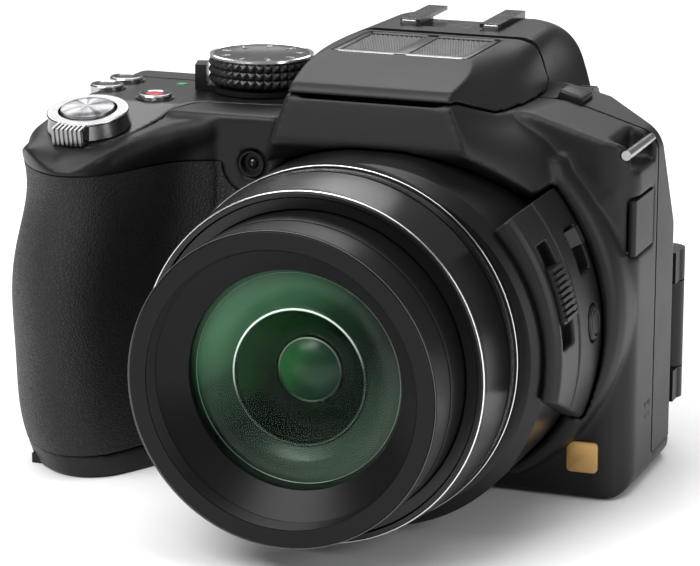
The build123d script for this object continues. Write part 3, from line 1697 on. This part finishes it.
def dioptre_pin():
    """The pin of the dioptre wheel, part of the back shell."""
    start = (dioptre_place() - wall, dioptre_y, dioptre_z)
    return cross_rod(start, dioptre_pin_radius, wall + part_gap + dioptre_width / 2, Plane.YZ)


def dioptre_room():
    """A flat seat and swing room for the dioptre wheel."""
    return cross_rod((dioptre_place(), dioptre_y, dioptre_z), dioptre_radius + part_gap, overrun * 4, Plane.YZ)


def split_forms():
    """The outside, the hollows and the regions that the shells are cut from."""
    grip_outer = grip_form()
    grip_core = grip_form(grip_skin)
    hump = hump_form()
    form = outer_form()
    return form, grip_outer, grip_core, hump


def common_cuts():
    """Every hollow that more than one shell shares."""
    mount_hole = frontways(Pos(0, axis_z) * Circle(mount_hole_radius + touch), front_y - overrun, carrier_back_y + wall)
    cuts = [inner_room(), mount_hole, battery_room(part_gap), flash_region(part_gap), flash_pocket(),
            shoe_room(), eye_tube(), jack_cover(part_gap), flash_button_room(),
            arm_room(), rear_dial_room(), cursor_room(), dioptre_room(), badge_room()]
    cuts += screw_rooms() + speaker_holes() + lug_holes() + under_deck_wells()
    cuts.append(lug_room(side_x - left_lug_inset, left_lug_y, left_lug_z, 1))
    cuts.append(lug_room(right_lug_x, right_lug_y, right_lug_z, -1))
    cuts.append(terminal_cover(terminal_side(), part_gap))
    cuts.append(terminal_outside())
    cuts.append(cross_rod((lamp_hole_x, hump_front_y, lamp_hole_z), lamp_hole_radius,
                          hump_front_y - front_y - lamp_hole_depth, Plane.XZ))
    middle = (jack_low_z + jack_high_z) / 2
    jack_y = (jack_front_y + jack_back_y) / 2
    cuts.append(cross_rod((side_x - jack_hole_depth, jack_y, middle), jack_hole_radius, jack_hole_depth, Plane.YZ))
    for place in small_back_places().values():
        cuts.append(back_button_room(place, small_button_radius, back_button_depth))
    return cuts


def terminal_side():
    """Where the grip-side wall is at the height of the terminal flap."""
    return grip_side_x + wall / 4


def terminal_outside():
    """The space outside the terminal flap, so that no skin of the shell covers it."""
    return block(
        (grip_side_x - overrun, terminal_front_y - door_knuckle - part_gap, terminal_low_z - part_gap),
        (terminal_side() + touch, terminal_back_y + part_gap, terminal_high_z + part_gap),
    )


def build():
    """All nodes of the camera, by name."""
    form, grip_outer, grip_core, hump = split_forms()
    rubber = grip_rubber(grip_outer, grip_core)
    nodes = {}
    deck_space = deck_band()
    body = form - rubber
    for cut in common_cuts():
        body = body - cut
    low = block((grip_side_x - overrun, grip_nose_y - overrun, -overrun), (side_x + overrun, back_y + overrun, bottom_seam_z))
    ahead = block((grip_side_x - overrun, grip_nose_y - overrun, bottom_seam_z),
                  (side_x + overrun, seam_y, hump_top_z + overrun))
    behind = block((grip_side_x - overrun, seam_y, bottom_seam_z),
                   (side_x + overrun, hump_back_y + overrun, hump_top_z + overrun))
    upper = body - deck_space
    base = (body & low) - hatch_shape(part_gap)
    base = base - cross_rod((0, 0, -overrun), socket_outer_radius, overrun + bottom_seam_z + overrun)
    nodes["bottom_cover"] = one(base)
    front = upper & ahead
    for boss in screw_bosses(screw_places()[:2]):
        front = front + boss
    for room in screw_rooms():
        front = front - room
    nodes["front_shell"] = one(front)
    rear = upper & behind
    for piece in screw_bosses(screw_places()[2:]) + board_posts() + screen_ears() + [flash_hinge()]:
        rear = rear + piece
    rear = rear + rear_dial_pin() + dioptre_pin()
    for room in screw_rooms():
        rear = rear - room
    nodes["rear_shell"] = one(rear)
    nodes["top_cover"] = top_cover(form - rubber)
    nodes["grip_rubber"] = rubber
    nodes["flash_cover"] = flash_cover_and_head(hump)
    nodes["flash_window"] = flash_window()
    nodes["mic_grille"] = mic_grille()
    nodes["hot_shoe"] = hot_shoe()
    nodes["viewfinder_display"] = evf_display()
    nodes["eyepiece_lens"] = eyepiece_lens()
    nodes["eyecup"] = eyecup()
    nodes["lens_collar"] = lens_collar()
    nodes["trim_rings"] = trim_rings()
    nodes["control_pod"] = control_pod()
    nodes["side_zoom_slider"] = side_zoom_slider()
    nodes["focus_switch"] = focus_switch()
    nodes["focus_button"] = focus_button()
    nodes["outer_stage"] = outer_stage()
    nodes["front_barrel"] = front_barrel()
    nodes["name_ring"] = name_ring()
    nodes["front_glass"] = front_glass()
    nodes["lens_carrier"] = lens_carrier()
    nodes["guide_rods"] = guide_rods()
    nodes["variator_group"] = all_solids([variator_group(), variator_glass()])
    nodes["rear_lens_group"] = all_solids([iris_unit(), rear_lens_group()])
    nodes["image_sensor"] = image_sensor()
    nodes["battery"] = battery()
    nodes["battery_hatch"] = one(hatch_shape())
    nodes["tripod_socket"] = tripod_socket()
    nodes["case_screws"] = case_screws()
    nodes["mainboard"] = mainboard()
    nodes["flash_capacitor"] = flash_capacitor()
    nodes["zoom_motor"] = zoom_motor()
    nodes["mode_dial"] = mode_dial()
    nodes["power_switch"] = power_switch()
    nodes["shutter_button"] = shutter_button()
    nodes["zoom_lever"] = zoom_lever()
    nodes["record_button"] = deck_button(record_place, round_button_radius, round_button_rise,
                                         round_button_depth + deck_thickness, round_button_travel)
    nodes["drive_button"] = deck_button(drive_place, round_button_radius, round_button_rise,
                                        round_button_depth + deck_thickness, round_button_travel)
    nodes["function_button"] = deck_button(function_place, round_button_radius, round_button_rise,
                                           round_button_depth + deck_thickness, round_button_travel)
    nodes["status_lamp"] = status_lamp()
    nodes["flash_button"] = flash_button()
    nodes["jack_cover"] = one(jack_cover())
    nodes["terminal_cover"] = one(terminal_cover(terminal_side()))
    nodes["strap_bars"] = strap_bars()
    nodes["focus_lamp"] = lamp_window()
    nodes["badge_plate"] = badge_plate()
    nodes["screen_panel"] = screen_panel()
    nodes["screen_glass"] = screen_glass()
    nodes["screen_arm"] = screen_arm()
    nodes["rear_dial"] = rear_dial()
    nodes["dioptre_dial"] = dioptre_dial()
    nodes["cursor_pad"] = cursor_pad()
    nodes["set_button"] = set_button()
    for name, place in small_back_places().items():
        nodes[name] = back_button(place, small_button_radius, back_button_rise, back_button_depth, back_button_travel)
    return nodes


os.makedirs("parts", exist_ok=True)
for name, shape in build().items():
    export_step(shape, f"parts/{name}.step")
    print(name, round(shape.volume))
